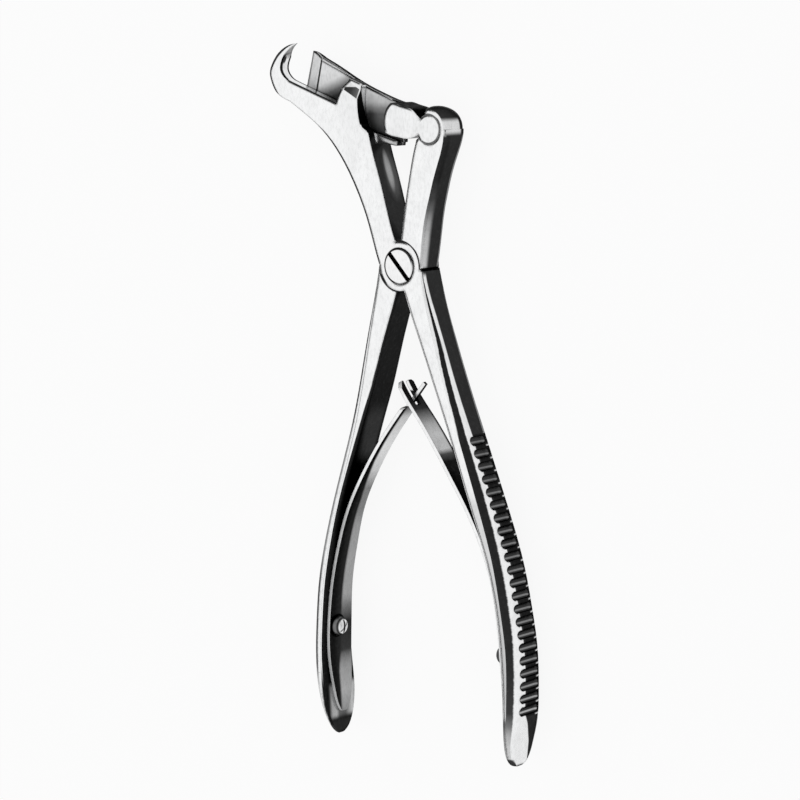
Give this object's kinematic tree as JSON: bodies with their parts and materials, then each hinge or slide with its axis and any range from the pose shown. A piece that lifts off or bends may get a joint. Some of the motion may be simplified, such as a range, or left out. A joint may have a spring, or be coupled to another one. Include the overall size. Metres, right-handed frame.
{
  "type": "rib shears",
  "caption": "Spring-handled steel rib shears: a fixed hooked jaw and a sliding guillotine blade driven by a ball joint on the crossing lever, with two interlocking leaf springs.",
  "frame": {"origin": "centre of the pivot screw, on the flat back face of the lock", "axes": "+Z along the pivot screw towards its slotted head, +Y towards the jaws, +X towards the blade's ball joint"},
  "size_m": [0.1076, 0.2381, 0.0162],
  "materials": {
    "lever_steel": "polished stainless steel with a fine satin on the flat faces",
    "blade_steel": "ground stainless steel",
    "spring_steel": "bright spring steel",
    "screw_steel": "turned stainless steel"
  },
  "bodies": {
    "hook_side": {"hook_lever": "lever_steel", "right_leaf_screw": "screw_steel"},
    "blade_side": {"blade_lever": "lever_steel", "pivot_screw": "screw_steel", "left_leaf_screw": "screw_steel"},
    "blade": {"sliding_blade": "blade_steel"},
    "left_leaf": {"left_leaf_spring": "spring_steel"},
    "right_leaf": {"right_leaf_spring": "spring_steel"}
  },
  "joints": [
    {"name": "lever_pivot", "type": "hinge", "parent": "hook_side", "child": "blade_side", "pos_m": [0, 0, 0], "axis": [0, 0, 1], "range_deg": [0, 11], "stiffness_Nm_per_rad": 1, "springref_deg": -17.19},
    {"name": "blade_ball_joint", "type": "hinge", "parent": "blade_side", "child": "blade", "pos_m": [0.01215, 0.0459, 0.0055], "axis": [0, 0, 1], "range_deg": [-13.2, 0]},
    {"name": "left_leaf_bend", "type": "hinge", "parent": "blade_side", "child": "left_leaf", "pos_m": [-0.0299, -0.11, 0.0055], "axis": [0, 0, 1], "range_deg": [0, 3.7], "deforming": ["left_leaf_spring"]},
    {"name": "right_leaf_bend", "type": "hinge", "parent": "hook_side", "child": "right_leaf", "pos_m": [0.0413, -0.11, 0.0055], "axis": [0, 0, 1], "range_deg": [-3.7, 0], "deforming": ["right_leaf_spring"]}
  ],
  "couplings": [
    {"joint": "blade_ball_joint", "follows": "lever_pivot", "ratio": -1.19},
    {"joint": "left_leaf_bend", "follows": "lever_pivot", "ratio": 0.33},
    {"joint": "right_leaf_bend", "follows": "lever_pivot", "ratio": -0.33}
  ]
}
